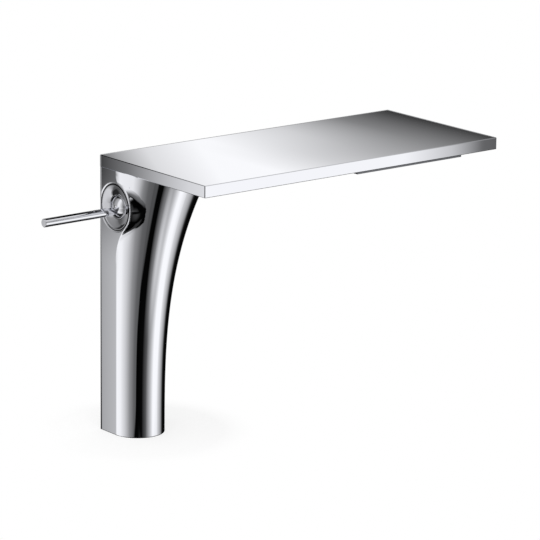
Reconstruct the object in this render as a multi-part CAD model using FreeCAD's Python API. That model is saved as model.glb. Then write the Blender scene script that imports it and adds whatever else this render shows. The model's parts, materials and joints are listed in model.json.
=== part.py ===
import FreeCAD, Part
import math
import os

# A tall basin mixer: a flared column, a flat shelf spout and a side joystick.
# Millimetres, +Z up, +X along the shelf, -Y towards the user.
# The origin is the centre of the column's round foot, on the deck.

V = FreeCAD.Vector

# Shared clearances
overrun = 1.0
slip = 0.05
fit_gap = 0.15
running_gap = 0.35

# Column
column_base_radius = 22.3
column_flat_depth = 21.6
column_height = 222.0
column_flare_radius = 21.9
column_wall = 3.0
column_web = 6.0
column_corner_radius = 0.5
flare_power = 3

# Flat pad round the lever, and how it melts into the column
lever_below_shelf = 30.2
lever_from_back = 20.2
pad_radius = 20.6
pad_lower_blend_radius = 42.0
pad_side_blend_radius = 36.0
pad_top_margin = 3.2
pad_hole_radius = 19.2
pad_hole_depth = 5.0
pad_mouth_width = 1.1
pad_mouth_depth = 0.25
valve_bore_radius = 18.4
valve_boss_radius = 20.2
valve_bore_depth = 62.0
valve_end_wall = 1.4

# Foot
plug_thickness = 12.0
seal_inset = 0.6
seal_width = 1.8
seal_height = 1.6
inlet_radius = 4.5
inlet_depth = 9.0
inlet_spread = 8.0
stud_hole_radius = 3.4
stud_hole_depth = 10.0
stud_spread = 11.5

# Water tubes
tube_radius = 3.0
tube_bore_radius = 2.2
tube_bend_radius = 24.0
tube_lean_height = 70.0
tube_lean_below_lever = 26.8
tube_seat = 3.0
riser_radius = 4.6
riser_bore_radius = 3.4
riser_seat = 4.0
riser_ring_width = 1.0
riser_ring_height = 1.0
tube_passage = 0.4
riser_passage = 1.0

# Port block behind the cartridge
block_length = 11.6
block_inlet_setback = 3.7
port_inlet_spread = 4.0
port_inlet_drop = 2.6
port_inlet_radius = 1.7
port_outlet_height = 2.0
port_outlet_radius = 2.4
port_narrowing = 0.3

# Cartridge, all depths from the column's flat face
pivot_depth = 12.0
housing_front = 8.5
housing_radius = 18.2
housing_wall = 1.8
housing_back = 43.3
disc_thickness = 3.85
disc_radius = 14.5
disc_rim_height = 2.8
base_back = 50.0
port_seal_width = 1.4
port_seal_depth = 1.4
port_seal_land = 0.5
nut_front = 5.0
nut_thickness = 3.4
nut_inner_radius = 13.2
nut_notch_width = 5.0
nut_notch_depth = 1.6
nut_notch_count = 4

# Dished cap and the collar round the ball
cap_radius = 18.5
cap_skirt = 1.0
cap_rim_radius = 17.9
cap_rim_depth = 0.3
cap_dish_depth = 2.7
cap_hole_radius = 10.3
cap_thickness = 1.1
cap_mid_radius_share = 0.5
cap_mid_depth_share = 0.31
collar_front = 2.5
collar_back = 6.0
collar_edge_radius = 0.5
collar_mouth_radius = 9.2

# Ball, pin and spindle of the lever
ball_radius = 12.0
ball_cavity_radius = 9.0
ball_cavity_front = 6.0
ball_back = 3.0
pin_radius = 3.5
pin_reach = 69.7
pin_drop = 3.15
pin_end_chamfer = 0.3
neck_length = 8.4
neck_radius = 2.7
neck_seat = 3.6
spindle_radius = 2.6
spindle_stub_radius = 2.0
spindle_stub_end = 7.6
spindle_body_start = 5.4
spindle_taper_start = 15.0
spindle_neck_radius = 1.9
spindle_reach = 20.6
spindle_tip_radius = 2.8
spindle_tilt_deg = 11.0

# Swing yoke that carries the ball
pivot_pin_radius = 1.5
yoke_arm_inner = 12.5
yoke_arm_thickness = 1.9
yoke_arm_half_width = 2.5
yoke_arm_nose = 2.4
yoke_plate_start = 12.0
yoke_plate_thickness = 2.4
yoke_plate_half_width = 7.5
yoke_plate_half_height = 9.5
yoke_slot_half_width = 3.4
yoke_slot_half_height = 6.8
prong_inner = 3.6
prong_outer = 7.0
prong_half_height = 3.0
trunnion_end_gap = 0.2
tilt_pin_inner_gap = 0.6
tilt_pin_end = 11.2

# Cross slide and disc carrier
slide_front = 29.0
slide_thickness = 2.2
slide_half_width = 8.0
slide_half_height = 10.5
slide_shoulder_half_height = 5.5
slide_tip_half_width = 5.5
slide_slot_half_height = 7.6
rail_inner = 6.55
rail_depth = 2.8
carrier_front = 31.5
carrier_back = 36.6
carrier_radius = 7.4
carrier_floor = 0.9
moving_disc_back = 39.4
moving_disc_radius = 9.3
mixing_pocket_radius = 4.4
mixing_pocket_spread = 3.0
mixing_pocket_depth = 1.6

# Shelf
shelf_length = 306.0
shelf_depth = 140.0
shelf_thickness = 10.0
shelf_overhang = 0.2
shelf_skin = 1.6
shelf_bevel = 0.5
pan_thickness = 2.0
post_radius = 3.2
post_bore_radius = 1.3
post_from_left = 12.8
post_from_front = 8.4
post_from_outlet = 26.5
channel_height = 5.4
channel_wall = 1.0
channel_margin = 4.0
channel_neck_half_width = 10.0

# Outlet under the shelf's front edge
outlet_length = 112.0
outlet_width = 18.0
outlet_from_left = 160.0
outlet_from_front = 6.0
outlet_drop = 3.2
outlet_border = 4.0
outlet_ledge = 1.5
outlet_ledge_height = 1.8
outlet_seal_height = 1.0
stream_slot_count = 18
stream_slot_width = 3.4
stream_slot_border = 1.4

# Screws
shelf_screw_radius = 2.5
shelf_screw_head_radius = 3.6
shelf_screw_head_height = 2.6
shelf_screw_bite = 5.0
screw_socket_radius = 1.5
screw_socket_depth = 1.4
cover_screw_radius = 1.25
cover_screw_head_radius = 2.6
cover_screw_length = 6.0

# Places that follow from the sizes above
lever_height = column_height - lever_below_shelf
column_left = -column_base_radius
column_back = column_flat_depth
lever_y = column_back - lever_from_back
lever_origin = V(column_left, lever_y, lever_height)
shelf_left = column_left - shelf_overhang
shelf_right = shelf_left + shelf_length
shelf_back = column_back + shelf_overhang
shelf_front = shelf_back - shelf_depth
shelf_bottom = column_height
shelf_top = shelf_bottom + shelf_thickness
pan_top = shelf_bottom + pan_thickness
top_radius = column_base_radius + column_flare_radius
pad_edge_step = column_flat_depth - lever_from_back
pad_upper_span = lever_below_shelf - pad_top_margin
pad_upper_squares = pad_upper_span ** 2 - pad_radius ** 2 + pad_edge_step ** 2
pad_upper_blend_radius = pad_upper_squares / (2 * (pad_radius - pad_edge_step))
block_front = valve_bore_depth - block_length
block_middle = block_front + block_length / 2
riser_x = column_left + block_middle
inlet_x = column_left + block_front + block_inlet_setback
spindle_tilt = math.radians(spindle_tilt_deg)
tip_rise = spindle_reach * math.sin(spindle_tilt)
outlet_x0 = shelf_left + outlet_from_left
outlet_x1 = outlet_x0 + outlet_length
outlet_y0 = shelf_front + outlet_from_front
outlet_y1 = outlet_y0 + outlet_width

# Where the screws stand, as shares of the shelf's length and depth from its back left corner
shelf_screw_shares = ((0.035, 0.077), (0.035, 0.256), (0.257, 0.045), (0.166, 0.384))
back_post_shares = ((0.336, 0.056), (0.663, 0.056), (0.974, 0.056))

lower_stations = 7
pad_stations = 24
top_stations = 2
nose_points_count = 26
hollow_stations = 9


# Basic solids

def block(x0, x1, y0, y1, z0, z1):
    return Part.makeBox(x1 - x0, y1 - y0, z1 - z0, V(x0, y0, z0))


def upright(radius, x, y, z0, z1):
    return Part.makeCylinder(radius, z1 - z0, V(x, y, z0))


def along_x(radius, start, end, y=0, z=0):
    return Part.makeCylinder(radius, end - start, V(start, y, z), V(1, 0, 0))


def along_y(radius, start, end):
    return Part.makeCylinder(radius, end - start, V(0, start, 0), V(0, 1, 0))


def prism(points, z0, z1):
    wire = Part.makePolygon([V(x, y, z0) for x, y in points] + [V(*points[0], z0)])
    return Part.Face(wire).extrude(V(0, 0, z1 - z0))


def turned(edges):
    face = Part.Face(Part.Wire(Part.__sortEdges__(edges)))
    return face.revolve(V(0, 0, 0), V(1, 0, 0), 360)


def turned_profile(points):
    corners = [V(s, 0, r) for s, r in points]
    wire = Part.makePolygon(corners + corners[:1])
    return Part.Face(wire).revolve(V(0, 0, 0), V(1, 0, 0), 360)


def ring_x(inner, outer, start, end):
    return along_x(outer, start, end).cut(along_x(inner, start - overrun, end + overrun))


def mirrored_z(shape):
    return shape.mirror(V(0, 0, 0), V(0, 0, 1))


def mirrored_y(shape):
    return shape.mirror(V(0, 0, 0), V(0, 1, 0))


def at_lever(shape):
    placed = shape.copy()
    placed.translate(lever_origin)
    return placed


# Column form

def front_radius(z):
    return column_base_radius + column_flare_radius * (max(z, 0) / column_height) ** flare_power


def pad_blend_span(blend):
    return math.sqrt((pad_radius + blend) ** 2 - (pad_edge_step + blend) ** 2)


def pad_reach(z):
    # depth from the back at which the flat side ends: a strip with a round pad blended into it
    above = z - lever_height
    blend = pad_upper_blend_radius if above > 0 else pad_lower_blend_radius
    span = pad_blend_span(blend)
    height = abs(above)
    if height >= span:
        return column_flat_depth
    if height <= span * pad_radius / (pad_radius + blend):
        return lever_from_back + math.sqrt(pad_radius ** 2 - height ** 2)
    return column_flat_depth + blend - math.sqrt(blend ** 2 - (span - height) ** 2)


def nose_outline(z):
    # points of the round front from the flat side's edge to the right side, as (across, depth)
    radius = front_radius(z)
    reach = pad_reach(z)
    lift = reach - column_flat_depth
    far = math.hypot(radius, lift)
    along = (pad_side_blend_radius ** 2 - (radius + pad_side_blend_radius) ** 2 + far ** 2) / (2 * far)
    aside = math.sqrt(max(pad_side_blend_radius ** 2 - along ** 2, 0))
    hollow_x = (along * radius + aside * lift) / far
    hollow_y = reach + (aside * radius - along * lift) / far
    turn_start = math.atan2(reach - hollow_y, -hollow_x)
    turn_end = math.atan2(column_flat_depth - hollow_y, radius - hollow_x)
    hollow_length = pad_side_blend_radius * (turn_end - turn_start)
    nose_start = math.atan2(hollow_y - column_flat_depth, hollow_x - radius)
    nose_length = radius * nose_start
    points = []
    for step in range(nose_points_count + 1):
        run = (hollow_length + nose_length) * step / nose_points_count
        if run < hollow_length:
            angle = turn_start + run / pad_side_blend_radius
            across = hollow_x + pad_side_blend_radius * math.cos(angle)
            depth = hollow_y + pad_side_blend_radius * math.sin(angle)
        else:
            angle = nose_start - (run - hollow_length) / radius
            across = radius + radius * math.cos(angle)
            depth = column_flat_depth + radius * math.sin(angle)
        points.append((across, depth))
    return points


def hollow_section(z, top_of_flare):
    radius = front_radius(min(z, top_of_flare)) - column_wall
    left = column_left + column_wall
    back = column_back - column_wall
    middle = left + radius
    right = middle + radius
    front = Part.Arc(V(left, 0, z), V(middle, -radius, z), V(right, 0, z)).toShape()
    left_side = Part.makeLine(V(left, back, z), V(left, 0, z))
    right_side = Part.makeLine(V(right, 0, z), V(right, back, z))
    return Part.Wire([left_side, front, right_side, Part.makeLine(V(right, back, z), V(left, back, z))])


def spread(start, end, count):
    return [start + (end - start) * step / count for step in range(count)]


def column_form():
    # the round front is one smooth surface, closed by the flat sides, the foot and the top
    pad_low = lever_height - pad_blend_span(pad_lower_blend_radius)
    pad_high = lever_height + pad_blend_span(pad_upper_blend_radius)
    heights = spread(0, pad_low, lower_stations)
    heights += spread(pad_low, pad_high, pad_stations)
    heights += spread(pad_high, column_height, top_stations) + [column_height]
    grid = []
    for z in heights:
        grid.append([V(column_left + across, column_back - depth, z) for across, depth in nose_outline(z)])
    front = Part.BSplineSurface()
    front.interpolate(grid)
    u0, u1, v0, v1 = front.bounds()
    foot_edge = front.uIso(u0).toShape()
    top_edge = front.uIso(u1).toShape()
    left_edge = front.vIso(v0).toShape()
    right_edge = front.vIso(v1).toShape()
    back_edge = right_edge.translated(V(0, column_flat_depth, 0))
    foot_left = V(column_left, column_back, 0)
    top_left = V(column_left, column_back, column_height)
    foot_right = foot_left + V(2 * column_base_radius, 0, 0)
    top_right = top_left + V(2 * top_radius, 0, 0)
    left_line = Part.makeLine(foot_left, top_left)
    foot_back = Part.makeLine(foot_left, foot_right)
    top_back = Part.makeLine(top_left, top_right)
    foot_left_line = Part.makeLine(foot_left, grid[0][0])
    top_left_line = Part.makeLine(top_left, grid[-1][0])
    foot_right_line = Part.makeLine(foot_right, grid[0][-1])
    top_right_line = Part.makeLine(top_right, grid[-1][-1])
    outlines = [
        [left_edge, top_left_line, left_line, foot_left_line],
        [back_edge, top_back, left_line, foot_back],
        [foot_edge, foot_right_line, foot_back, foot_left_line],
        [top_edge, top_right_line, top_back, top_left_line],
    ]
    faces = [front.toShape(), right_edge.extrude(V(0, column_flat_depth, 0))]
    for edges in outlines:
        faces.append(Part.Face(Part.Wire(Part.__sortEdges__(edges))))
    shell = Part.Shell(faces)
    shell.sewShape()
    return Part.makeSolid(shell).cut(back_corner_waste())


def back_corner_waste():
    # what is taken off to round the sharp edge between the flat side and the back
    x = column_left + column_corner_radius
    y = column_back - column_corner_radius
    low = -overrun
    high = column_height + overrun
    corner = block(column_left - overrun, x, y, column_back + overrun, low, high)
    return corner.cut(upright(column_corner_radius, x, y, low, high))


def column_hollow():
    top = column_height - column_web
    heights = [-overrun] + spread(0, top, hollow_stations) + [top]
    return Part.makeLoft([hollow_section(z, top) for z in heights], True, False)


def shelf_places(shares):
    return [(shelf_left + x * shelf_length, shelf_back - y * shelf_depth) for x, y in shares]


def cover_post_places():
    # three posts along the back, one at the front left and one at each end of the outlet
    y = shelf_front + post_from_front
    front_posts = (shelf_left + post_from_left, outlet_x0 - post_from_outlet, outlet_x1 + post_from_outlet)
    return shelf_places(back_post_shares) + [(x, y) for x in front_posts]


def column_body():
    form = column_form()
    boss = at_lever(along_x(valve_boss_radius, column_wall / 2, valve_bore_depth + valve_end_wall))
    body = form.cut(column_hollow()).fuse(boss)
    cuts = [at_lever(along_x(valve_bore_radius, -overrun, valve_bore_depth))]
    cuts.append(at_lever(along_x(pad_hole_radius, -overrun, pad_hole_depth)))
    mouth_radius = pad_hole_radius + pad_mouth_width
    mouth = Part.makeCone(mouth_radius, pad_hole_radius, pad_mouth_depth, V(0, 0, 0), V(1, 0, 0))
    cuts.append(at_lever(mouth))
    boss_foot = lever_height - pad_radius - overrun
    above = column_height + overrun
    for side in (-1, 1):
        y = lever_y + side * port_inlet_spread
        cuts.append(upright(tube_radius + tube_passage, inlet_x, y, boss_foot, lever_height))
    cuts.append(upright(riser_radius + riser_passage, riser_x, lever_y, lever_height, above))
    for x, y in shelf_places(shelf_screw_shares):
        cuts.append(upright(shelf_screw_radius + slip, x, y, column_height - shelf_screw_bite, above))
    return body.cut(cuts).removeSplitter()


# Foot

def foot_outline(inset, z0, z1):
    # the column's foot outline, drawn in by an inset
    radius = column_base_radius - inset
    back = column_back - inset
    front = Part.Arc(V(-radius, 0, z0), V(0, -radius, z0), V(radius, 0, z0)).toShape()
    left_side = Part.makeLine(V(-radius, back, z0), V(-radius, 0, z0))
    right_side = Part.makeLine(V(radius, 0, z0), V(radius, back, z0))
    wire = Part.Wire([left_side, front, right_side, Part.makeLine(V(radius, back, z0), V(-radius, back, z0))])
    return Part.Face(wire).extrude(V(0, 0, z1 - z0))


def seal_ring(grow):
    inset = column_wall + seal_inset
    outer = foot_outline(inset - grow, 0, seal_height + grow)
    return outer.cut(foot_outline(inset + seal_width + grow, -overrun, seal_height + overrun))


def base_plug():
    plug = foot_outline(column_wall + fit_gap, 0, plug_thickness)
    cuts = [seal_ring(slip)]
    for side in (-1, 1):
        y = lever_y + side * inlet_spread
        cuts.append(upright(inlet_radius, 0, y, -overrun, inlet_depth))
        cuts.append(upright(tube_radius + slip, 0, y, inlet_depth - overrun, plug_thickness + overrun))
        cuts.append(upright(stud_hole_radius, side * stud_spread, 0, -overrun, stud_hole_depth))
    return plug.cut(cuts)


def base_seal():
    return seal_ring(0)


# Water tubes

def rounded_path(points, bend):
    edges = []
    start = points[0]
    for before, corner, after in zip(points, points[1:], points[2:]):
        inward = (before - corner).normalize()
        outward = (after - corner).normalize()
        half_turn = (math.pi - inward.getAngle(outward)) / 2
        setback = bend * math.tan(half_turn)
        bisector = (inward + outward).normalize()
        arc_start = corner + inward * setback
        arc_end = corner + outward * setback
        arc_middle = corner + bisector * (bend / math.cos(half_turn) - bend)
        edges.append(Part.makeLine(start, arc_start))
        edges.append(Part.Arc(arc_start, arc_middle, arc_end).toShape())
        start = arc_end
    edges.append(Part.makeLine(start, points[-1]))
    return Part.Wire(edges)


def swept(path, start, radius):
    return path.makePipeShell([Part.Wire(Part.makeCircle(radius, start, V(0, 0, 1)))], True, False)


def supply_tube(side):
    foot_y = lever_y + side * inlet_spread
    head_y = lever_y + side * port_inlet_spread
    head_z = block_bottom() + tube_seat
    lean_top = lever_height - tube_lean_below_lever
    points = [
        V(0, foot_y, inlet_depth),
        V(0, foot_y, lean_top - tube_lean_height),
        V(inlet_x, head_y, lean_top),
        V(inlet_x, head_y, head_z),
    ]
    path = rounded_path(points, tube_bend_radius)
    return swept(path, points[0], tube_radius).cut(swept(path, points[0], tube_bore_radius))


def block_bottom():
    # lowest point of the port block where a supply tube enters it
    return lever_height - math.sqrt((valve_bore_radius - fit_gap) ** 2 - port_inlet_spread ** 2)


def block_top():
    return lever_height + valve_bore_radius - fit_gap


def riser_foot():
    return block_top() - riser_seat


def riser_rings_heights():
    return (block_top() - riser_seat / 2, shelf_bottom + pan_thickness / 2)


def riser_ring(z):
    low = z - riser_ring_height / 2
    ring = upright(riser_radius + riser_ring_width / 2, riser_x, lever_y, low, low + riser_ring_height)
    inner_radius = riser_radius - riser_ring_width / 2
    return ring.cut(upright(inner_radius, riser_x, lever_y, low - overrun, low + riser_ring_height + overrun))


def riser_tube():
    top = pan_top + channel_wall
    tube = upright(riser_radius, riser_x, lever_y, riser_foot(), top)
    tube = tube.cut(upright(riser_bore_radius, riser_x, lever_y, riser_foot() - overrun, top + overrun))
    return tube.cut([riser_ring(z) for z in riser_rings_heights()])


def riser_rings():
    return Part.makeCompound([riser_ring(z) for z in riser_rings_heights()])


# Port block and cartridge

def port_places():
    return (
        (-port_inlet_spread, -port_inlet_drop, port_inlet_radius),
        (port_inlet_spread, -port_inlet_drop, port_inlet_radius),
        (0, port_outlet_height, port_outlet_radius),
    )


def port_holes(start, end):
    return [along_x(radius, start, end, y, z) for y, z, radius in port_places()]


def port_block():
    outer = along_x(valve_bore_radius - fit_gap, block_front + fit_gap, valve_bore_depth)
    body = at_lever(outer.cut(port_holes(0, block_middle)))
    cuts = []
    for side in (-1, 1):
        y = lever_y + side * port_inlet_spread
        seat_top = block_bottom() + tube_seat
        cuts.append(upright(tube_radius + slip, inlet_x, y, lever_height - valve_bore_radius, seat_top))
        inlet_top = lever_height - port_inlet_drop
        cuts.append(upright(port_inlet_radius - port_narrowing, inlet_x, y, seat_top - overrun, inlet_top))
    outlet_foot = lever_height + port_outlet_height
    cuts.append(upright(port_outlet_radius - port_narrowing, riser_x, lever_y, outlet_foot, block_top()))
    cuts.append(upright(riser_radius + slip, riser_x, lever_y, riser_foot(), block_top() + overrun))
    cuts.append(riser_ring(riser_rings_heights()[0]))
    return body.cut(cuts)


def seal_rings(end):
    rings = []
    for y, z, radius in port_places():
        inner_radius = radius + port_seal_land
        outer = along_x(inner_radius + port_seal_width, base_back - port_seal_depth, end, y, z)
        rings.append(outer.cut(along_x(inner_radius, 0, end + overrun, y, z)))
    return rings


def cartridge_base():
    body = along_x(housing_radius, housing_back, base_back)
    rim_outer = housing_radius - housing_wall - fit_gap
    rim = ring_x(disc_radius + fit_gap, rim_outer, housing_back - disc_rim_height, housing_back)
    body = body.fuse(rim).removeSplitter()
    return at_lever(body.cut(port_holes(0, base_back + overrun) + seal_rings(base_back + overrun)))


def port_seals():
    return Part.makeCompound([at_lever(ring) for ring in seal_rings(base_back)])


def fixed_disc():
    disc = along_x(disc_radius, housing_back - disc_thickness, housing_back)
    return at_lever(disc.cut(port_holes(0, base_back)))


def cartridge_housing():
    inner = housing_radius - housing_wall
    tube = ring_x(inner, housing_radius, housing_front, housing_back)
    guide = along_x(inner, slide_front, slide_front + slide_thickness)
    edge = slide_half_height + fit_gap
    guide = guide.cut(block(0, housing_back, -housing_radius, housing_radius, -edge, edge))
    housing = tube.fuse(guide).removeSplitter()
    bore = upright(pivot_pin_radius + slip, pivot_depth, 0, -housing_radius, housing_radius)
    return at_lever(housing.cut(bore))


def retaining_nut():
    nut = ring_x(nut_inner_radius, valve_bore_radius - slip, nut_front, nut_front + nut_thickness)
    for turn in range(nut_notch_count):
        width = nut_notch_width / 2
        depth = nut_inner_radius + nut_notch_depth
        notch = block(nut_front - overrun, nut_front + nut_thickness + overrun, -width, width, 0, depth)
        notch.rotate(V(0, 0, 0), V(1, 0, 0), 360 * (turn + 1 / 2) / nut_notch_count)
        nut = nut.cut(notch)
    return at_lever(nut)


def dish_arc(offset):
    fall = cap_rim_radius - cap_hole_radius
    start = V(cap_rim_depth + offset, 0, cap_rim_radius)
    sag_depth = cap_rim_depth + (cap_dish_depth - cap_rim_depth) * cap_mid_depth_share + offset
    middle = V(sag_depth, 0, cap_hole_radius + fall * cap_mid_radius_share)
    end = V(cap_dish_depth + offset, 0, cap_hole_radius)
    return start, end, Part.Arc(start, middle, end).toShape()


def dished_cap():
    front_rim, front_hole, front = dish_arc(0)
    back_rim, back_hole, back = dish_arc(cap_thickness)
    hole = Part.makeLine(front_hole, back_hole)
    rim = Part.makeLine(front_rim, back_rim)
    dish = turned([front, hole, back, rim])
    skirt = ring_x(cap_radius - cap_skirt, cap_radius, 0, nut_front - slip)
    lip = ring_x(cap_rim_radius - overrun / 2, cap_radius, cap_rim_depth, cap_rim_depth + cap_thickness)
    cap = dish.fuse([skirt, lip]).removeSplitter()
    front_bowl = turned([front, Part.makeLine(front_rim, V(-overrun, 0, cap_rim_radius)),
                         Part.makeLine(V(-overrun, 0, cap_rim_radius), V(-overrun, 0, cap_hole_radius)),
                         Part.makeLine(V(-overrun, 0, cap_hole_radius), front_hole)])
    return at_lever(cap.cut(front_bowl))


def ball_collar():
    ring = along_x(cap_hole_radius - 2 * slip, collar_front, collar_back)
    front_edges = [edge for edge in ring.Edges if edge.CenterOfMass.x < collar_front + slip]
    ring = ring.makeFillet(collar_edge_radius, front_edges)
    mouth = along_x(collar_mouth_radius, collar_front - overrun, collar_front + overrun)
    return at_lever(ring.cut([mouth, Part.makeSphere(ball_radius + running_gap, V(pivot_depth, 0, 0))]))


# Lever: ball, pin, spindle and tilt pins, drawn about the pivot

def at_pivot(shape):
    placed = shape.copy()
    placed.translate(lever_origin + V(pivot_depth, 0, 0))
    return placed


def tilted(shape):
    turned_up = shape.copy()
    turned_up.rotate(V(0, 0, 0), V(0, 1, 0), -spindle_tilt_deg)
    return turned_up


def lever_ball():
    ball = Part.makeSphere(ball_radius)
    cuts = [along_x(ball_cavity_radius, -ball_cavity_front, ball_radius + overrun)]
    cuts.append(block(ball_back, ball_radius + overrun, -ball_radius, ball_radius, -ball_radius, ball_radius))
    pin_seat = neck_seat - pivot_depth + slip
    cuts.append(along_x(neck_radius + slip, -ball_radius - overrun, pin_seat, 0, -pin_drop))
    cuts.append(tilted(along_x(spindle_stub_radius + slip, -spindle_stub_end - slip, 0)))
    cuts.append(along_y(pivot_pin_radius + slip, -tilt_pin_end, tilt_pin_end))
    return at_pivot(ball.cut(cuts))


def tilt_pins():
    pin = along_y(pivot_pin_radius, prong_inner + tilt_pin_inner_gap, tilt_pin_end - slip)
    return Part.makeCompound([at_pivot(pin), at_pivot(mirrored_y(pin))])


def handle_pin():
    profile = [
        (-pin_reach, 0),
        (-pin_reach, pin_radius - pin_end_chamfer),
        (-pin_reach + pin_end_chamfer, pin_radius),
        (-neck_length, pin_radius),
        (0, neck_radius),
        (neck_seat, neck_radius),
        (neck_seat, 0),
    ]
    pin = turned_profile(profile)
    pin.translate(V(0, 0, -pin_drop))
    return at_lever(pin)


def lever_spindle():
    profile = [
        (-spindle_stub_end, 0),
        (-spindle_stub_end, spindle_stub_radius),
        (-spindle_body_start, spindle_stub_radius),
        (-spindle_body_start, spindle_radius),
        (spindle_taper_start, spindle_radius),
        (spindle_reach - spindle_tip_radius, spindle_neck_radius),
        (spindle_reach, spindle_neck_radius),
        (spindle_reach, 0),
    ]
    rod = turned_profile(profile).fuse(Part.makeSphere(spindle_tip_radius, V(spindle_reach, 0, 0)))
    return at_pivot(tilted(rod))


# Swing yoke and its trunnions

def yoke_arm_outer():
    return yoke_arm_inner + yoke_arm_thickness


def swing_yoke():
    back = yoke_plate_start + yoke_plate_thickness
    reach = yoke_arm_outer()
    wide = yoke_plate_half_width
    tall = yoke_plate_half_height
    narrow = yoke_arm_half_width
    plate = block(yoke_plate_start, back, -wide, wide, -tall, tall)
    stem = block(yoke_plate_start, back, -narrow, narrow, -reach, reach)
    arm = block(-yoke_arm_nose, back, -narrow, narrow, yoke_arm_inner, reach)
    prong = block(0, yoke_plate_start, prong_inner, prong_outer, -prong_half_height, prong_half_height)
    prong = prong.fuse(along_y(prong_half_height, prong_inner, prong_outer))
    yoke = plate.fuse([stem, arm, mirrored_z(arm), prong, mirrored_y(prong)]).removeSplitter()
    slot_y = yoke_slot_half_width
    slot_z = yoke_slot_half_height
    cuts = [block(yoke_plate_start - overrun, back + overrun, -slot_y, slot_y, -slot_z, slot_z)]
    cuts.append(along_y(pivot_pin_radius + slip, -prong_outer, prong_outer))
    cuts.append(upright(pivot_pin_radius + slip, 0, 0, -reach, reach))
    return at_pivot(yoke.cut(cuts))


def yoke_trunnions():
    pin = upright(pivot_pin_radius, 0, 0, yoke_arm_inner, housing_radius - trunnion_end_gap)
    return Part.makeCompound([at_pivot(pin), at_pivot(mirrored_z(pin))])


# Cross slide, disc carrier and moving disc

def cross_slide():
    tip = slide_tip_half_width
    wide = slide_half_width
    shoulder = slide_shoulder_half_height
    tall = slide_half_height
    outline = [(-tip, -tall), (tip, -tall), (wide, -shoulder), (wide, shoulder)]
    outline += [(tip, tall), (-tip, tall), (-wide, shoulder), (-wide, -shoulder)]
    corners = [V(slide_front, y, z) for y, z in outline]
    plate = Part.Face(Part.makePolygon(corners + corners[:1])).extrude(V(slide_thickness, 0, 0))
    rail_start = slide_front + slide_thickness
    rail = block(rail_start, rail_start + rail_depth, rail_inner, wide, -shoulder, shoulder)
    slot_y = spindle_tip_radius + running_gap
    slot_z = slide_slot_half_height
    slot = block(slide_front - overrun, rail_start + overrun, -slot_y, slot_y, -slot_z, slot_z)
    return at_lever(plate.fuse([rail, mirrored_y(rail)]).removeSplitter().cut(slot))


def disc_carrier():
    half_width = rail_inner - fit_gap
    disc = along_x(carrier_radius, carrier_front, carrier_back, 0, tip_rise)
    tall = tip_rise + carrier_radius
    disc = disc.common(block(carrier_front, carrier_back, -half_width, half_width, -tall, tall))
    socket_radius = spindle_tip_radius + running_gap
    socket = along_x(socket_radius, carrier_front - overrun, carrier_back - carrier_floor, 0, tip_rise)
    return at_lever(disc.cut(socket))


def moving_disc():
    disc = along_x(moving_disc_radius, carrier_back, moving_disc_back, 0, tip_rise)
    start = moving_disc_back - mixing_pocket_depth
    end = moving_disc_back + overrun
    spread_y = mixing_pocket_spread
    low = tip_rise - mixing_pocket_radius
    high = tip_rise + mixing_pocket_radius
    pocket = [along_x(mixing_pocket_radius, start, end, side * spread_y, tip_rise) for side in (-1, 1)]
    pocket.append(block(start, end, -spread_y, spread_y, low, high))
    return at_lever(disc.cut(pocket))


# Shelf

def shelf_slab(inset, z0, z1):
    return block(shelf_left + inset, shelf_right - inset, shelf_front + inset, shelf_back - inset, z0, z1)


def shelf_cover():
    slab = shelf_slab(0, shelf_bottom, shelf_top)
    bevelled = slab.makeChamfer(shelf_bevel, slab.Edges)
    cover = bevelled.cut(shelf_slab(shelf_skin, shelf_bottom - overrun, shelf_top - shelf_skin))
    posts = []
    bores = []
    for x, y in cover_post_places():
        posts.append(upright(post_radius, x, y, pan_top, shelf_top - shelf_skin / 2))
        bores.append(upright(post_bore_radius, x, y, pan_top - overrun, shelf_top - shelf_skin))
    return cover.fuse(posts).removeSplitter().cut(bores)


def cover_screw(x, y, grow):
    shank_radius = cover_screw_radius + grow
    head_height = cover_screw_head_radius - cover_screw_radius
    head = Part.makeCone(cover_screw_head_radius + grow, shank_radius, head_height, V(x, y, shelf_bottom))
    return head.fuse(upright(shank_radius, x, y, shelf_bottom, shelf_bottom + cover_screw_length))


def shelf_pan():
    pan = shelf_slab(shelf_skin + fit_gap, shelf_bottom, pan_top)
    low = shelf_bottom - overrun
    high = pan_top + overrun
    cuts = [outlet_block(-fit_gap, low, high)]
    cuts.append(upright(riser_radius + slip, riser_x, lever_y, low, high))
    cuts.append(riser_ring(riser_rings_heights()[1]))
    for x, y in shelf_places(shelf_screw_shares):
        cuts.append(upright(shelf_screw_radius + slip, x, y, low, high))
    for x, y in cover_post_places():
        cuts.append(cover_screw(x, y, slip))
    return pan.cut(cuts)


def channel_plan(inset):
    # fan-shaped duct from the riser to the outlet
    neck = channel_neck_half_width - inset
    margin = channel_margin - inset
    start_x = riser_x - neck
    turn_x = riser_x + neck
    wide_y = outlet_y1 + outlet_width + margin
    return [
        (start_x, lever_y + neck),
        (turn_x, lever_y + neck),
        (outlet_x1 + margin, wide_y),
        (outlet_x1 + margin, outlet_y0 + inset),
        (outlet_x0 - margin, outlet_y0 + inset),
        (outlet_x0 - margin, wide_y),
        (turn_x, lever_y - neck),
        (start_x, lever_y - neck),
    ]


def water_channel():
    floor = pan_top + channel_wall
    top = pan_top + channel_height
    duct = prism(channel_plan(0), pan_top, top)
    inside = prism(channel_plan(channel_wall), floor, top - channel_wall)
    window = outlet_block(outlet_border, pan_top - overrun, floor + overrun)
    riser_hole = upright(riser_radius + slip, riser_x, lever_y, pan_top - overrun, floor + overrun)
    return duct.cut([inside, window, riser_hole])


def outlet_block(inset, z0, z1):
    return block(outlet_x0 + inset, outlet_x1 - inset, outlet_y0 + inset, outlet_y1 - inset, z0, z1)


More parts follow.
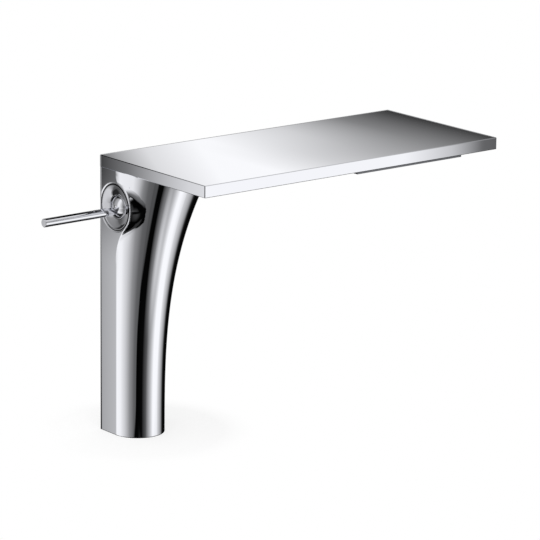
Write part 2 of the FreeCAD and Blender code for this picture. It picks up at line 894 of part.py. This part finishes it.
def outlet_frame():
    low = shelf_bottom - outlet_drop
    high = pan_top - outlet_seal_height
    frame = outlet_block(0, low, high)
    ledge_top = low + outlet_ledge_height
    lower = outlet_block(outlet_border + outlet_ledge, low - overrun, high)
    return frame.cut([lower, outlet_block(outlet_border, ledge_top, high + overrun)])


def outlet_seal():
    high = pan_top
    ring = outlet_block(0, high - outlet_seal_height, high)
    return ring.cut(outlet_block(outlet_border, high - outlet_seal_height - overrun, high + overrun))


def stream_former():
    low = shelf_bottom - outlet_drop + outlet_ledge_height
    high = pan_top - outlet_seal_height
    inset = outlet_border + fit_gap
    plate = outlet_block(inset, low, high)
    first = outlet_x0 + outlet_border + outlet_ledge
    pitch = (outlet_length - 2 * (outlet_border + outlet_ledge)) / stream_slot_count
    side = outlet_border + outlet_ledge + stream_slot_border
    slots = []
    for index in range(stream_slot_count):
        middle = first + pitch * (index + 1 / 2)
        slots.append(block(middle - stream_slot_width / 2, middle + stream_slot_width / 2,
                           outlet_y0 + side, outlet_y1 - side, low - overrun, high + overrun))
    return plate.cut(slots)


def shelf_screws():
    screws = []
    for x, y in shelf_places(shelf_screw_shares):
        head_top = pan_top + shelf_screw_head_height
        shank = upright(shelf_screw_radius, x, y, column_height - shelf_screw_bite, pan_top)
        head = upright(shelf_screw_head_radius, x, y, pan_top, head_top)
        socket = upright(screw_socket_radius, x, y, head_top - screw_socket_depth, head_top + overrun)
        screws.append(shank.fuse(head).removeSplitter().cut(socket))
    return Part.makeCompound(screws)


def cover_screws():
    return Part.makeCompound([cover_screw(x, y, 0).removeSplitter() for x, y in cover_post_places()])


nodes = {
    "column_body": column_body,
    "base_plug": base_plug,
    "base_seal": base_seal,
    "hot_tube": lambda: supply_tube(1),
    "cold_tube": lambda: supply_tube(-1),
    "port_block": port_block,
    "port_seals": port_seals,
    "riser_tube": riser_tube,
    "riser_rings": riser_rings,
    "cartridge_base": cartridge_base,
    "cartridge_housing": cartridge_housing,
    "fixed_disc": fixed_disc,
    "moving_disc": moving_disc,
    "disc_carrier": disc_carrier,
    "cross_slide": cross_slide,
    "swing_yoke": swing_yoke,
    "yoke_trunnions": yoke_trunnions,
    "lever_spindle": lever_spindle,
    "lever_ball": lever_ball,
    "tilt_pins": tilt_pins,
    "handle_pin": handle_pin,
    "ball_collar": ball_collar,
    "dished_cap": dished_cap,
    "retaining_nut": retaining_nut,
    "shelf_cover": shelf_cover,
    "shelf_pan": shelf_pan,
    "water_channel": water_channel,
    "outlet_frame": outlet_frame,
    "outlet_seal": outlet_seal,
    "stream_former": stream_former,
    "shelf_screws": shelf_screws,
    "cover_screws": cover_screws,
}

os.makedirs("parts", exist_ok=True)
for name, make in nodes.items():
    make().exportStep(f"parts/{name}.step")
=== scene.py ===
import json
import math

import bpy
from mathutils import Matrix, Vector


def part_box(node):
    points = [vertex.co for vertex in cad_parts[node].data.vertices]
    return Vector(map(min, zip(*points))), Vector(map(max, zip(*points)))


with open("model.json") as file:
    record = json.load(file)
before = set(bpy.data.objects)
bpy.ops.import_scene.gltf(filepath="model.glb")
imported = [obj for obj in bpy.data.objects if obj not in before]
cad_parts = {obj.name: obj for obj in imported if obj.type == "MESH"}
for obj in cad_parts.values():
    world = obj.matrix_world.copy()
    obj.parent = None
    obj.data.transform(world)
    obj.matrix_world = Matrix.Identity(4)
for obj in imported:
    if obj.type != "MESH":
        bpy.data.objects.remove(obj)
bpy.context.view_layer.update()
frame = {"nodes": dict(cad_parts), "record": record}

nodes = frame["nodes"]
MM = 0.001

# Camera, in the part's frame
CAMERA_PLACE_MM = (-1583.2, -2151.3, 826.5)
CAMERA_AZIMUTH_DEG = -38.66
CAMERA_ELEVATION_DEG = 14.47
CAMERA_ROLL_DEG = 0.65
SENSOR_MM = 36.0
FOCAL_MM = 225.53

# Chrome, and the strength that lets a white card look white in it
CHROME_COLOUR = (0.895, 0.903, 0.945, 1.0)
CARD_STRENGTH = 1 / CHROME_COLOUR[0]

# Rosette and collar: the same chrome painted darker, as painted shade in the dish round the lever
ROSETTE_SHADED_COLOUR = (0.600, 0.605, 0.634, 1.0)

# Light tent: cards round the tap that only its reflections see, in metres
TENT_LEFT = -0.40
TENT_FRONT = -0.45
TENT_RIGHT = 0.60
TENT_BACK = 0.80
TENT_LOW = -0.70
TENT_HIGH = 1.50
BACK_HIGH = 3.0
BACK_RIGHT = 2.5
FRONT_RIGHT = 1.3
CEILING = 0.332
CEILING_X = (-0.03, 1.60)
CEILING_FRONT = 0.03
CEILING_FADE = 0.04
CEILING_LEFT_FADE = 0.09
EDGE_STRIP_X = (-0.05, 0.50)
EDGE_STRIP_Y = (-0.22, -0.11)
OVERHEAD_FRONT = -0.23

# Floor: a soft contact shadow near the foot, white beyond it
FLOOR_COLOUR = (0.94, 0.94, 0.94, 1)
FLOOR_HALF = 6.0
SHADOW_NEAR = 0.02
SHADOW_FAR = 0.10
SHADOW_FADE = 0.7

# World: the white that is seen, and the light that falls on surfaces
BACKDROP_COLOUR = (1, 1, 1, 1)
FILL_COLOUR = (0.98, 0.98, 0.98, 1)

# Lamp
LAMP_SIZE = 0.9
LAMP_POWER = 6
LAMP_PLACE = (-0.5, -0.6, 1.5)
LAMP_TARGET = (0.1, 0, 0.1)

# Shading of the chrome's edges: how far in, and how much, they turn over as if slightly rolled
EDGE_ROLL = (2.5 * MM, 0.8 * MM)
SIDE_TURN = 0.55
TOP_TURN = 0.2
LEVEL_FACE = (0.4, 0.6)

# Column's shading: the flare from its formula, and the pad's blend smoothed and tipped to fit the photo
EDGE_BLUR = 0.9 * MM
EDGE_SAMPLES = 8
PAD_BLUR = 3.0 * MM
PAD_SAMPLES = 16
FLARE_POWER = 3
FORM_MATCH = (0.998, 0.9995)
PAD_FADE = (42 * MM, 48 * MM)
PAD_FRONT = (-4 * MM, -7 * MM)
PAD_SIDE = (-0.95, -0.85)
PAD_LIFT = 0.06
PAD_DROP = 0.12

# Depth of the grain in machined metal
GRAIN_DEPTH = 0.1 * MM

# Bore round the lever: dark unplated metal, which also stands in as painted shade in the gap round the cap
# and inside the collar
ROSETTE_GAP = 0.75 * MM
COLLAR_FACE = 1.05 * MM


def grey(level):
    """Linear grey for a display level from 0 to 255."""
    share = level / 255
    linear = share / 12.92 if share < 0.04045 else ((share + 0.055) / 1.055) ** 2.4
    return (linear, linear, linear, 1.0)


class Shader:
    """A node tree with short helpers for adding nodes."""

    def __init__(self, tree):
        self.tree = tree
        self.tree.nodes.clear()

    def add(self, kind, **values):
        node = self.tree.nodes.new(kind)
        for name, value in values.items():
            setattr(node, name, value)
        return node

    def link(self, source, target):
        self.tree.links.new(source, target)

    def put(self, value, socket):
        if isinstance(value, (int, float, tuple)):
            socket.default_value = value
        else:
            self.link(value, socket)

    def math(self, operation, *values):
        node = self.add("ShaderNodeMath", operation=operation)
        for value, socket in zip(values, node.inputs):
            self.put(value, socket)
        return node.outputs[0]

    def step(self, value, start, end):
        """0 before start, 1 after end, smooth between."""
        node = self.add("ShaderNodeMapRange", interpolation_type="SMOOTHSTEP")
        for name, entry in (("Value", value), ("From Min", start), ("From Max", end)):
            self.put(entry, node.inputs[name])
        return node.outputs[0]

    def mix(self, values, **kind):
        """A mix node with its factor and its two inputs set."""
        node = self.add("ShaderNodeMix", **kind)
        sockets = [socket for socket in node.inputs if socket.enabled]
        for value, socket in zip(values, sockets):
            self.put(value, socket)
        return next(socket for socket in node.outputs if socket.enabled)

    def blend(self, factor, first, second, blend_type="MIX"):
        return self.mix((factor, first, second), data_type="RGBA", blend_type=blend_type)

    def gradient(self, value, levels):
        """Greys at chosen places along a coordinate, as (place, level) pairs."""
        start, end = levels[0][0], levels[-1][0]
        along = self.add("ShaderNodeMapRange")
        for name, entry in (("Value", value), ("From Min", start), ("From Max", end)):
            self.put(entry, along.inputs[name])
        stops = [((place - start) / (end - start), grey(level)) for place, level in levels]
        return self.ramp(along.outputs[0], stops)

    def ramp(self, factor, stops):
        node = self.add("ShaderNodeValToRGB")
        elements = node.color_ramp.elements
        for _ in range(len(stops) - 2):
            elements.new(0.5)
        for element, (place, colour) in zip(elements, stops):
            element.position = place
            element.color = colour
        self.link(factor, node.inputs[0])
        return node.outputs[0]

    def place(self):
        """World X, Y and Z."""
        return self.parts(self.add("ShaderNodeNewGeometry").outputs["Position"])

    def vector(self, *values):
        node = self.add("ShaderNodeCombineXYZ")
        for value, socket in zip(values, node.inputs):
            self.put(value, socket)
        return node.outputs[0]

    def vector_math(self, operation, *vectors):
        node = self.add("ShaderNodeVectorMath", operation=operation)
        for vector, socket in zip(vectors, node.inputs):
            self.link(vector, socket)
        return next(socket for socket in node.outputs if socket.enabled)

    def parts(self, vector):
        node = self.add("ShaderNodeSeparateXYZ")
        self.link(vector, node.inputs[0])
        return node.outputs

    def blend_vectors(self, factor, first, second):
        return self.mix((factor, first, second), data_type="VECTOR")

    def softened(self, radius, samples):
        """The mesh's normal averaged over a radius."""
        node = self.add("ShaderNodeBevel", samples=samples)
        node.inputs["Radius"].default_value = radius
        return node.outputs[0]

    def turned(self, normal, *turn):
        """A normal with a turn added to it."""
        return self.vector_math("NORMALIZE", self.vector_math("ADD", normal, self.vector(*turn)))

    def finish(self, surface, kind="ShaderNodeOutputMaterial"):
        self.link(surface, self.add(kind).inputs["Surface"])


def new_material(name):
    material = bpy.data.materials.new(name)
    material.use_nodes = True
    return material, Shader(material.node_tree)


# Materials of the nodes

def metal_surface(shader, colour, roughness, spread, grain_scale, bump=0.0):
    """Metal whose roughness wanders a little over the surface."""
    body = shader.add("ShaderNodeBsdfPrincipled")
    body.inputs["Base Color"].default_value = colour
    body.inputs["Metallic"].default_value = 1.0
    noise = shader.add("ShaderNodeTexNoise")
    noise.inputs["Scale"].default_value = grain_scale
    shader.link(shader.add("ShaderNodeTexCoord").outputs["Object"], noise.inputs["Vector"])
    rough = shader.math("MULTIPLY_ADD", noise.outputs[0], spread, roughness - spread / 2)
    shader.link(rough, body.inputs["Roughness"])
    if bump:
        lift = shader.add("ShaderNodeBump")
        lift.inputs["Strength"].default_value = bump
        lift.inputs["Distance"].default_value = GRAIN_DEPTH
        shader.link(noise.outputs[0], lift.inputs["Height"])
        shader.link(lift.outputs[0], body.inputs["Normal"])
    return body.outputs[0]


def metal(name, *values):
    material, shader = new_material(name)
    shader.finish(metal_surface(shader, *values))
    return material


def dielectric(name, dark, light, roughness, grain_scale):
    """Plastic, rubber or ceramic with a faint mottle."""
    material, shader = new_material(name)
    body = shader.add("ShaderNodeBsdfPrincipled")
    body.inputs["Roughness"].default_value = roughness
    noise = shader.add("ShaderNodeTexNoise")
    noise.inputs["Scale"].default_value = grain_scale
    shader.link(shader.add("ShaderNodeTexCoord").outputs["Object"], noise.inputs["Vector"])
    shader.link(shader.ramp(noise.outputs[0], [(0.3, dark), (0.7, light)]), body.inputs["Base Color"])
    shader.finish(body.outputs[0])
    return material


# Finishes: colour, roughness, how far the roughness wanders, and the grain's scale
CHROME_GRAIN = (0.022, 0.012, 90)
CHROME_FINISH = (CHROME_COLOUR, *CHROME_GRAIN)
# the rosette and collar finish: chrome painted darker, a painted shade for the dish
ROSETTE_SHADED_FINISH = (ROSETTE_SHADED_COLOUR, *CHROME_GRAIN)
DARK_FINISH = ((0.02, 0.02, 0.022, 1), 0.55, 0.1, 400)


def column_normal(shader):
    """Normals of the flared front from its formula, and elsewhere the mesh's own, softened.

    Beside the pad they are tipped up above the lever and down below it, and the back edge turns over.
    """
    low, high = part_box("column_body")
    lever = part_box("dished_cap")
    lever_z = (lever[0].z + lever[1].z) / 2
    x, y, z = shader.place()
    base = -low.x
    flare = (high.x - low.x) / 2 - base
    share = shader.math("DIVIDE", z, high.z)
    square = shader.math("MULTIPLY", share, share)
    radius = shader.math("MULTIPLY_ADD", shader.math("MULTIPLY", square, share), flare, base)
    slope = shader.math("MULTIPLY", square, FLARE_POWER * flare / high.z)
    across = shader.math("SUBTRACT", shader.math("SUBTRACT", x, low.x), radius)
    downward = shader.math("MULTIPLY", slope, shader.math("ADD", across, radius))
    form = shader.vector(across, shader.math("MINIMUM", y, 0.0), shader.math("MULTIPLY", downward, -1.0))
    form = shader.vector_math("NORMALIZE", form)

    soft = shader.softened(EDGE_BLUR, EDGE_SAMPLES)
    alike = shader.vector_math("DOT_PRODUCT", form, soft)
    clear_below = shader.step(z, lever_z - PAD_FADE[0], lever_z - PAD_FADE[1])
    clear_front = shader.step(y, *PAD_FRONT)
    match = shader.math("MULTIPLY", shader.step(alike, *FORM_MATCH),
                        shader.math("MAXIMUM", clear_below, clear_front))
    own = shader.add("ShaderNodeNewGeometry").outputs["Normal"]
    back = shader.step(y, high.y - EDGE_ROLL[0], high.y - EDGE_ROLL[1])
    top = shader.step(z, high.z - EDGE_ROLL[0], high.z - EDGE_ROLL[1])
    soft = shader.blend_vectors(shader.math("MAXIMUM", back, top), soft, own)
    beside_pad = shader.math("MULTIPLY", shader.step(shader.parts(soft)[0], *PAD_SIDE),
                             shader.step(y, 0.0, PAD_FRONT[0]))
    soft = shader.blend_vectors(beside_pad, soft, shader.softened(PAD_BLUR, PAD_SAMPLES))
    above = shader.math("GREATER_THAN", z, lever_z)
    lift = shader.math("MULTIPLY_ADD", above, PAD_LIFT + PAD_DROP, -PAD_DROP)
    unmatched = shader.math("MULTIPLY", beside_pad, shader.math("SUBTRACT", 1.0, match))
    lift = shader.math("MULTIPLY", lift, unmatched)
    back_turn = shader.math("MULTIPLY", back, SIDE_TURN)
    return shader.turned(shader.blend_vectors(match, soft, form), 0.0, back_turn, lift)


def shelf_normal(shader):
    """The mesh's normals, turned over at the back and right edges."""
    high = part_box("shelf_cover")[1]
    x, y = shader.place()[:2]
    own = shader.add("ShaderNodeNewGeometry").outputs["Normal"]
    level = shader.step(shader.parts(own)[2], *LEVEL_FACE)
    back = shader.step(y, high.y - EDGE_ROLL[0], high.y - EDGE_ROLL[1])
    right = shader.step(x, high.x - EDGE_ROLL[0], high.x - EDGE_ROLL[1])
    back_turn = shader.math("MULTIPLY_ADD", level, TOP_TURN - SIDE_TURN, SIDE_TURN)
    back_turn = shader.math("MULTIPLY", back, back_turn)
    right_turn = shader.math("MULTIPLY", right, shader.math("MULTIPLY", level, TOP_TURN))
    return shader.turned(own, right_turn, back_turn, 0.0)


def shaped_chrome(name, normal):
    """Chrome with normals worked out by a function."""
    material, shader = new_material(name)
    plated = metal_surface(shader, *CHROME_FINISH)
    shader.link(normal(shader), plated.node.inputs["Normal"])
    shader.finish(plated)
    return material


def chrome_with_shaded_bore(name, finish, radius, normal=None):
    """Chrome outside; within a radius of the lever's axis dark unplated metal, which also paints the shade
    of the bore.
    """
    material, shader = new_material(name)
    low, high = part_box("dished_cap")
    y, z = shader.place()[1:]
    across = shader.math("SUBTRACT", y, (low.y + high.y) / 2)
    upward = shader.math("SUBTRACT", z, (low.z + high.z) / 2)
    across_square = shader.math("MULTIPLY", across, across)
    squares = shader.math("MULTIPLY_ADD", upward, upward, across_square)
    # painted shade: the dark metal within this radius also stands in for the shade in the bore and the gap
    bore_shade_mask = shader.math("LESS_THAN", squares, radius ** 2)
    plated = metal_surface(shader, *finish)
    if normal:
        shader.link(normal(shader), plated.node.inputs["Normal"])
    mix = shader.add("ShaderNodeMixShader")
    shader.link(bore_shade_mask, mix.inputs[0])
    shader.link(plated, mix.inputs[1])
    shader.link(metal_surface(shader, *DARK_FINISH), mix.inputs[2])
    shader.finish(mix.outputs[0])
    return material


def half_height(node):
    low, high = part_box(node)
    return (high.z - low.z) / 2


slot_materials = {
    "chrome": metal("chrome", *CHROME_FINISH),
    "steel": metal("steel", (0.62, 0.63, 0.65, 1), 0.24, 0.12, 400, 0.05),
    "dark_metal": metal("dark_metal", (0.2, 0.205, 0.22, 1), 0.32, 0.1, 500, 0.05),
    "brass": metal("brass", (0.72, 0.57, 0.28, 1), 0.26, 0.12, 300, 0.05),
    "copper": metal("copper", (0.72, 0.45, 0.3, 1), 0.28, 0.12, 250, 0.05),
    "plastic": dielectric("plastic", (0.13, 0.135, 0.14, 1), (0.18, 0.185, 0.195, 1), 0.5, 600),
    "ceramic": dielectric("ceramic", (0.84, 0.83, 0.8, 1), (0.92, 0.91, 0.88, 1), 0.18, 300),
    "rubber": dielectric("rubber", (0.035, 0.035, 0.04, 1), (0.06, 0.06, 0.065, 1), 0.7, 800),
}
node_materials = {
    # the column and collar are dark round the lever: unplated metal and painted shade of the bore
    "column_body": chrome_with_shaded_bore("column_chrome_shaded_bore", CHROME_FINISH, half_height("dished_cap") + ROSETTE_GAP,
                                column_normal),
    # the collar and the rosette's cap get chrome painted darker, as painted shade in the dish
    "ball_collar": chrome_with_shaded_bore("collar_shaded_chrome", ROSETTE_SHADED_FINISH, half_height("ball_collar") - COLLAR_FACE),
    "dished_cap": metal("rosette_shaded_chrome", *ROSETTE_SHADED_FINISH),
    "shelf_cover": shaped_chrome("shelf_chrome", shelf_normal),
    "retaining_nut": metal("dark_nut", *DARK_FINISH),
}
for part in frame["record"]["subparts"]:
    mesh = nodes[part["node"]].data
    mesh.materials.clear()
    mesh.materials.append(node_materials.get(part["node"], slot_materials[part["material_slot"]]))


# Floor, world and lamp

def seen_rays(shader):
    """1 for camera, mirror and glass rays, 0 for the light that falls on surfaces."""
    rays = shader.add("ShaderNodeLightPath").outputs
    seen = shader.math("MAXIMUM", rays["Is Camera Ray"], rays["Is Glossy Ray"])
    return shader.math("MAXIMUM", seen, rays["Is Transmission Ray"])


def plane(name, corners):
    mesh = bpy.data.meshes.new(name)
    mesh.from_pydata([Vector(c) for c in corners], [], [tuple(range(len(corners)))])
    piece = bpy.data.objects.new(name, mesh)
    bpy.context.scene.collection.objects.link(piece)
    return piece


def level_corners(x0, x1, y0, y1, z):
    return [(x0, y0, z), (x1, y0, z), (x1, y1, z), (x0, y1, z)]


def upright_corners(x0, y0, x1, y1, z0, z1):
    return [(x0, y0, z0), (x1, y1, z0), (x1, y1, z1), (x0, y0, z1)]


floor = plane("floor", level_corners(-FLOOR_HALF, FLOOR_HALF, -FLOOR_HALF, FLOOR_HALF, 0))
floor.visible_glossy = False
floor_material, shader = new_material("floor")
matt = shader.add("ShaderNodeBsdfDiffuse")
matt.inputs["Color"].default_value = FLOOR_COLOUR
white = shader.add("ShaderNodeEmission")
distance = shader.add("ShaderNodeVectorMath", operation="LENGTH")
shader.link(shader.add("ShaderNodeNewGeometry").outputs["Position"], distance.inputs[0])
far = shader.math("MAXIMUM", shader.step(distance.outputs["Value"], SHADOW_NEAR, SHADOW_FAR), SHADOW_FADE)
mix = shader.add("ShaderNodeMixShader")
shader.link(shader.math("MULTIPLY", far, seen_rays(shader)), mix.inputs[0])
shader.link(matt.outputs[0], mix.inputs[1])
shader.link(white.outputs[0], mix.inputs[2])
shader.finish(mix.outputs[0])
floor.data.materials.append(floor_material)

world = bpy.data.worlds.new("studio")
bpy.context.scene.world = world
world.use_nodes = True
shader = Shader(world.node_tree)
backdrop = shader.add("ShaderNodeBackground")
backdrop.inputs["Color"].default_value = BACKDROP_COLOUR
fill = shader.add("ShaderNodeBackground")
fill.inputs["Color"].default_value = FILL_COLOUR
mix = shader.add("ShaderNodeMixShader")
shader.link(seen_rays(shader), mix.inputs[0])
shader.link(fill.outputs[0], mix.inputs[1])
shader.link(backdrop.outputs[0], mix.inputs[2])
shader.finish(mix.outputs[0], "ShaderNodeOutputWorld")

lamp_data = bpy.data.lights.new("key", "AREA")
lamp_data.size = LAMP_SIZE
lamp_data.energy = LAMP_POWER
lamp = bpy.data.objects.new("key", lamp_data)
lamp.location = LAMP_PLACE
lamp.rotation_euler = (Vector(LAMP_TARGET) - lamp.location).to_track_quat("-Z", "Y").to_euler()
lamp.visible_glossy = False
bpy.context.scene.collection.objects.link(lamp)


# Tent cards

def card(name, corners, shade, fade=None):
    """A card that shows in reflections only; shade returns its colour, and fade how solid it is.

    The shades are a few steps of grey each, fitted to what the photo's chrome mirrors.
    """
    piece = plane(name, corners)
    piece.visible_camera = False
    piece.visible_diffuse = False
    piece.visible_transmission = False
    piece.visible_shadow = False
    material, shader = new_material(name)
    material.cycles.emission_sampling = "NONE"
    glow = shader.add("ShaderNodeEmission")
    glow.inputs["Strength"].default_value = CARD_STRENGTH
    shader.put(shade(shader), glow.inputs["Color"])
    surface = glow.outputs[0]
    if fade:
        mix = shader.add("ShaderNodeMixShader")
        shader.link(fade(shader), mix.inputs[0])
        shader.link(shader.add("ShaderNodeBsdfTransparent").outputs[0], mix.inputs[1])
        shader.link(surface, mix.inputs[2])
        surface = mix.outputs[0]
    shader.finish(surface)
    piece.data.materials.append(material)


def shade_left(shader):
    # bright in the middle and dark at the front corner; other profiles at, above and below the lever
    y, z = shader.place()[1:]
    low = shader.gradient(y, [(-0.45, 85), (-0.30, 95), (-0.14, 140), (0.02, 205), (0.18, 240), (0.40, 245),
                              (0.55, 160), (0.60, 105), (0.80, 85)])
    high = shader.gradient(y, [(-0.45, 60), (-0.25, 95), (0.00, 230), (0.30, 236), (0.40, 210), (0.50, 115),
                               (0.55, 55), (0.80, 45)])
    above = shader.gradient(y, [(-0.45, 60), (-0.20, 110), (0.03, 234), (0.12, 232), (0.22, 170),
                                (0.80, 120)])
    below = shader.gradient(y, [(-0.45, 3), (-0.20, 3), (-0.02, 225), (0.20, 232), (0.45, 130), (0.80, 60)])
    back_rise = shader.math("MULTIPLY", shader.step(z, -0.03, 0.08), shader.step(y, 0.25, 0.38))
    rise = shader.math("MAXIMUM", back_rise, shader.step(z, 0.05, 0.09))
    colour = shader.blend(rise, low, high)
    colour = shader.blend(shader.step(z, 0.12, 0.16), colour, above)
    upper_corner = shader.math("MULTIPLY", shader.step(y, -0.34, -0.39), shader.step(z, -0.005, 0.03))
    lower_corner = shader.math("MULTIPLY", shader.step(y, -0.39, -0.43), shader.step(z, -0.065, -0.09))
    colour = shader.blend(shader.math("MAXIMUM", upper_corner, lower_corner), colour, grey(4))
    slanted = shader.math("MULTIPLY_ADD", y, 0.07, z)
    colour = shader.blend(shader.step(slanted, -0.16, -0.185), colour, below)
    far = shader.math("MAXIMUM", shader.step(z, 0.60, 0.70), shader.step(z, -0.26, -0.32))
    return shader.blend(far, colour, grey(45))


def dimming(shader, z):
    # how the front and right cards dim above and below the tap
    return shader.gradient(z, [(-0.70, 40), (-0.45, 165), (-0.15, 255), (0.145, 255), (0.19, 180),
                               (0.45, 165), (0.75, 230)])


def shade_front(shader):
    # a black band near the left corner, then white; level with the shelf it darkens again to the right
    x, _, z = shader.place()
    low = shader.gradient(x, [(-0.40, 3), (-0.16, 8), (-0.03, 80), (0.12, 185), (0.25, 248)])
    middle = shader.gradient(x, [(-0.40, 3), (-0.16, 4), (-0.05, 125), (0.05, 236), (0.12, 248)])
    high = shader.gradient(x, [(-0.40, 3), (-0.28, 3), (-0.18, 75), (0.03, 25), (0.10, 60), (0.20, 245),
                               (0.47, 243), (0.53, 195), (0.57, 100), (0.60, 88)])
    below = shader.gradient(x, [(-0.40, 3), (-0.30, 8), (-0.22, 62), (-0.10, 5), (0.10, 160), (0.25, 246)])
    colour = shader.blend(shader.step(z, -0.065, -0.03), low, middle)
    drop = shader.math("MAXIMUM", shader.math("SUBTRACT", -0.035, z), 0.0)
    slanted = shader.math("MULTIPLY_ADD", drop, 3.3, x)
    colour = shader.blend(shader.step(slanted, -0.265, -0.305), colour, grey(76))
    colour = shader.blend(shader.step(z, -0.025, -0.005), colour, high)
    colour = shader.blend(shader.step(z, -0.14, -0.17), colour, below)
    upper = shader.gradient(x, [(-0.40, 3), (-0.25, 8), (-0.08, 130), (0.15, 230)])
    colour = shader.blend(shader.step(z, 0.18, 0.26), colour, upper)
    colour = shader.blend(shader.step(z, 0.42, 0.55), colour, grey(230))
    colour = shader.blend(1.0, colour, dimming(shader, z), "MULTIPLY")
    return shader.blend(shader.step(x, TENT_RIGHT, FRONT_RIGHT), colour, grey(255))


def shade_right(shader):
    # dark beside the column, which gives it its dark right edge; lighter above that and at the far end
    y, z = shader.place()[1:]
    colour = shader.gradient(y, [(-0.45, 232), (-0.34, 205), (-0.15, 146), (-0.05, 38), (0.03, 6)])
    colour = shader.blend(1.0, colour, dimming(shader, z), "MULTIPLY")
    behind = shader.math("MULTIPLY", shader.step(z, -0.36, -0.28), shader.step(z, 0.08, 0.02))
    behind = shader.math("MULTIPLY", behind, shader.step(y, 0.40, 0.60))
    colour = shader.blend(behind, colour, grey(170))
    upper = shader.math("MULTIPLY", shader.step(z, -0.03, 0.08), shader.step(y, 0.19, 0.26))
    colour = shader.blend(upper, colour, grey(150))
    above = shader.math("MULTIPLY", shader.step(z, 0.24, 0.28), shader.step(y, 0.14, 0.06))
    return shader.blend(above, colour, grey(205))


def shade_ceiling(shader):
    # what the shelf's top mirrors: bright in the middle, dark to the right and at the left end
    x, y = shader.place()[:2]
    front = shader.gradient(x, [(0.33, 245), (0.40, 204), (0.46, 172), (0.60, 50), (0.80, 120),
                                (CEILING_X[1], 190)])
    back = shader.gradient(x, [(0.36, 245), (0.45, 208), (0.53, 126), (0.60, 36), (0.80, 120),
                               (CEILING_X[1], 190)])
    colour = shader.blend(shader.step(y, 0.23, 0.39), front, back)
    slanted = shader.math("MULTIPLY_ADD", y, -0.55, x)
    shade = shader.gradient(slanted, [(-0.16, 170), (-0.06, 10), (0.0, 10), (0.02, 60), (0.045, 165),
                                      (0.08, 225), (0.14, 255)])
    shade = shader.blend(shader.step(y, 0.40, 0.46), shade, grey(255))
    return shader.blend(1.0, colour, shade, "MULTIPLY")


def fade_ceiling(shader):
    x, y = shader.place()[:2]
    front = shader.step(y, CEILING_FRONT, CEILING_FRONT + CEILING_FADE)
    left = shader.step(x, CEILING_X[0], CEILING_X[0] + CEILING_LEFT_FADE)
    return shader.math("MULTIPLY", front, left)


def shade_back(shader):
    # on the left a grey patch for the rosette and the shelf's left edge, then a grey band for the back
    # views; to the right dark below and light above
    x, _, z = shader.place()
    patch = shader.gradient(z, [(-0.25, 45), (-0.10, 130), (0.0, 170), (0.20, 105), (0.50, 100), (0.70, 20),
                                (0.85, 20), (0.97, 160), (1.05, 160), (1.15, 10)])
    light = shader.gradient(z, [(0.03, 6), (0.12, 90), (0.35, 180), (0.60, 215)])
    middle = shader.gradient(z, [(-0.45, 40), (0.0, 130), (0.35, 180), (0.60, 215)])
    beside = shader.math("MULTIPLY", shader.step(x, 0.08, 0.22), shader.step(x, 0.50, 0.42))
    light = shader.blend(beside, light, middle)
    return shader.blend(shader.step(x, 0.03, -0.07), light, patch)


def shade_low(shader):
    x, y = shader.place()[:2]
    colour = shader.gradient(y, [(-0.45, 50), (-0.35, 25), (-0.20, 8), (TENT_BACK, 3)])
    return shader.blend(shader.step(x, 0.35, 0.10), colour, grey(3))


def shade_overhead(shader):
    # light over the tap, dark to its right for the lever's dark upper line, and light again beyond
    x = shader.place()[0]
    return shader.gradient(x, [(TENT_LEFT, 225), (0.10, 205), (0.42, 60), (0.55, 3), (1.15, 3), (1.40, 180),
                               (BACK_RIGHT, 220)])


def shade_edge_strip(shader):
    x = shader.place()[0]
    return shader.gradient(x, [(EDGE_STRIP_X[0], 190), (0.25, 185), (0.45, 80)])


left_corners = upright_corners(TENT_LEFT, TENT_FRONT, TENT_LEFT, TENT_BACK, TENT_LOW, TENT_HIGH)
front_corners = upright_corners(TENT_LEFT, TENT_FRONT, FRONT_RIGHT, TENT_FRONT, TENT_LOW, TENT_HIGH)
right_corners = upright_corners(TENT_RIGHT, TENT_FRONT, TENT_RIGHT, TENT_BACK, TENT_LOW, CEILING)
back_corners = upright_corners(TENT_LEFT, TENT_BACK, BACK_RIGHT, TENT_BACK, TENT_LOW, BACK_HIGH)
low_corners = level_corners(TENT_LEFT, BACK_RIGHT, TENT_FRONT, TENT_BACK, TENT_LOW)
overhead_corners = level_corners(TENT_LEFT, BACK_RIGHT, OVERHEAD_FRONT, TENT_BACK, TENT_HIGH)
ceiling_corners = level_corners(*CEILING_X, CEILING_FRONT, TENT_BACK, CEILING)
strip_corners = level_corners(*EDGE_STRIP_X, *EDGE_STRIP_Y, CEILING)

card("tent_left", left_corners, shade_left)
card("tent_front", front_corners, shade_front)
card("tent_right", right_corners, shade_right)
card("tent_back", back_corners, shade_back)
card("tent_low", low_corners, shade_low)
card("tent_overhead", overhead_corners, shade_overhead)
card("tent_ceiling", ceiling_corners, shade_ceiling, fade_ceiling)
card("edge_strip", strip_corners, shade_edge_strip)


# Camera

def camera_axes():
    azimuth = math.radians(CAMERA_AZIMUTH_DEG)
    elevation = math.radians(CAMERA_ELEVATION_DEG)
    right = Vector((math.cos(azimuth), math.sin(azimuth), 0))
    outward = Vector((math.sin(azimuth), -math.cos(azimuth), 0))
    back = outward * math.cos(elevation) + Vector((0, 0, math.sin(elevation)))
    up = back.cross(right)
    roll = Matrix.Rotation(math.radians(CAMERA_ROLL_DEG), 3, back)
    return roll @ right, roll @ up, back


camera_data = bpy.data.cameras.new("camera")
camera_data.sensor_width = SENSOR_MM
camera_data.lens = FOCAL_MM
camera = bpy.data.objects.new("camera", camera_data)
camera_turn = Matrix(camera_axes()).transposed().to_4x4()
camera.matrix_world = Matrix.Translation(Vector(CAMERA_PLACE_MM) * MM) @ camera_turn
bpy.context.scene.collection.objects.link(camera)
bpy.context.scene.camera = camera

bpy.context.scene.view_settings.view_transform = "Standard"
